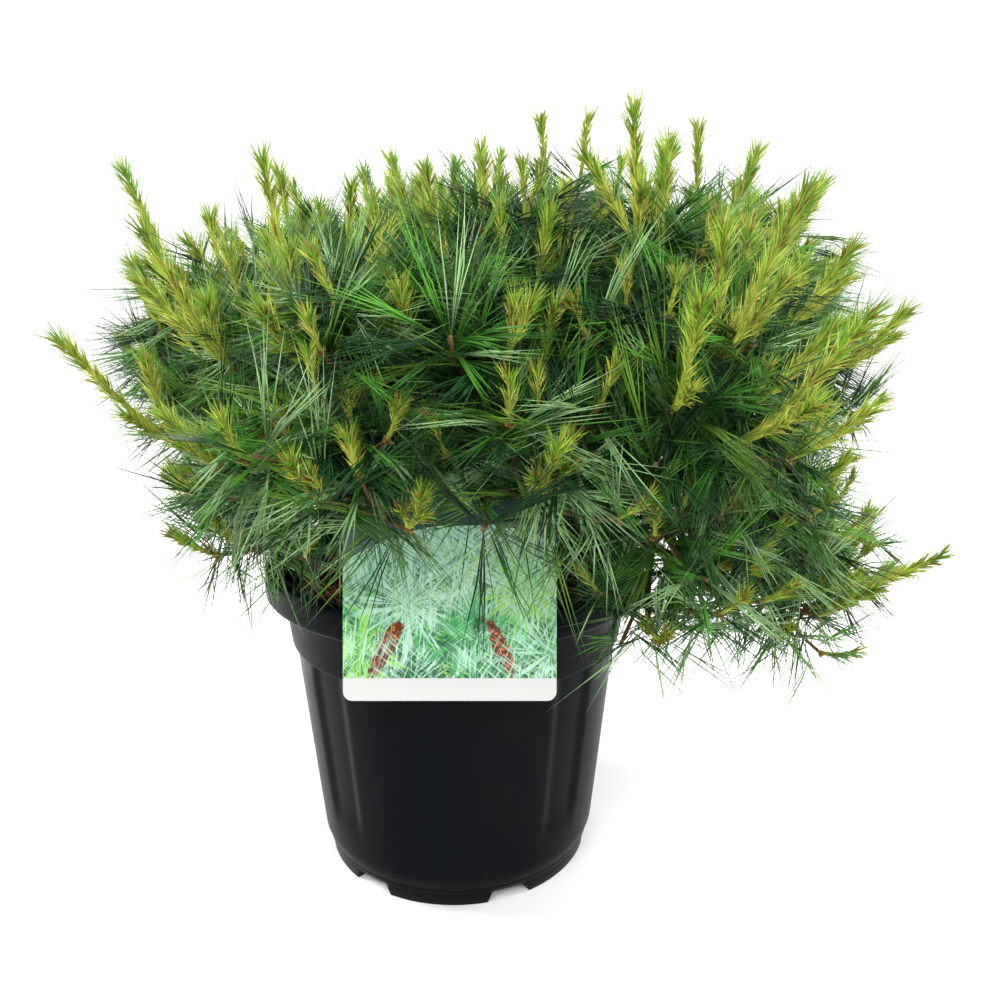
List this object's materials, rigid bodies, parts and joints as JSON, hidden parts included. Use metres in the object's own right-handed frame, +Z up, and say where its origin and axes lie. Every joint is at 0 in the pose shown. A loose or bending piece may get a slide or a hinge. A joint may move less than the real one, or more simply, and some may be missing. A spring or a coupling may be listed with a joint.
{
  "type": "potted dwarf white pine",
  "caption": "Potted dwarf white pine: a low dome of needle sprays with upright candles, in a fluted nursery pot with a picture card.",
  "frame": {"origin": "middle of the pot's underside, on the flat pad under the floor, level with its feet", "axes": "+Z up through the pot; -Y is the front, the side with the picture card; +X is to the right seen from the front"},
  "size_m": [0.4581, 0.4631, 0.4331],
  "materials": {
    "needles": "satin evergreen needles with yellow-green new growth",
    "bark": "rough young bark",
    "pot_plastic": "satin black moulded plastic",
    "bark_mulch": "loose bark chips, matt",
    "card_print": "printed plastic card, semi-gloss"
  },
  "bodies": {
    "root": {"bough_back": "bark", "bough_back_left": "bark", "bough_back_left_high": "bark", "bough_back_left_low": "bark", "bough_back_right_high": "bark", "bough_back_right_low": "bark", "bough_front": "bark", "bough_front_centre": "bark", "bough_front_high": "bark", "bough_front_left": "bark", "bough_front_left_high": "bark", "bough_front_right": "bark", "bough_front_right_low": "bark", "bough_left": "bark", "bough_left_back": "bark", "bough_left_back_high": "bark", "bough_left_back_low": "bark", "bough_left_high": "bark", "bough_left_low": "bark", "bough_right": "bark", "bough_right_back": "bark", "bough_right_back_low": "bark", "bough_right_front": "bark", "bough_right_front_high": "bark", "bough_right_high": "bark", "bough_right_low": "bark", "card": "card_print", "mass_back": "needles", "mass_back_left": "needles", "mass_back_left_high": "needles", "mass_back_left_low": "needles", "mass_back_right_high": "needles", "mass_back_right_low": "needles", "mass_front": "needles", "mass_front_centre": "needles", "mass_front_high": "needles", "mass_front_left": "needles", "mass_front_left_high": "needles", "mass_front_right": "needles", "mass_front_right_low": "needles", "mass_left": "needles", "mass_left_back": "needles", "mass_left_back_high": "needles", "mass_left_back_low": "needles", "mass_left_high": "needles", "mass_left_low": "needles", "mass_right": "needles", "mass_right_back": "needles", "mass_right_back_low": "needles", "mass_right_front": "needles", "mass_right_front_high": "needles", "mass_right_high": "needles", "mass_right_low": "needles", "mass_top": "needles", "pot": "pot_plastic", "soil": "bark_mulch", "trunk": "bark"}
  },
  "joints": []
}
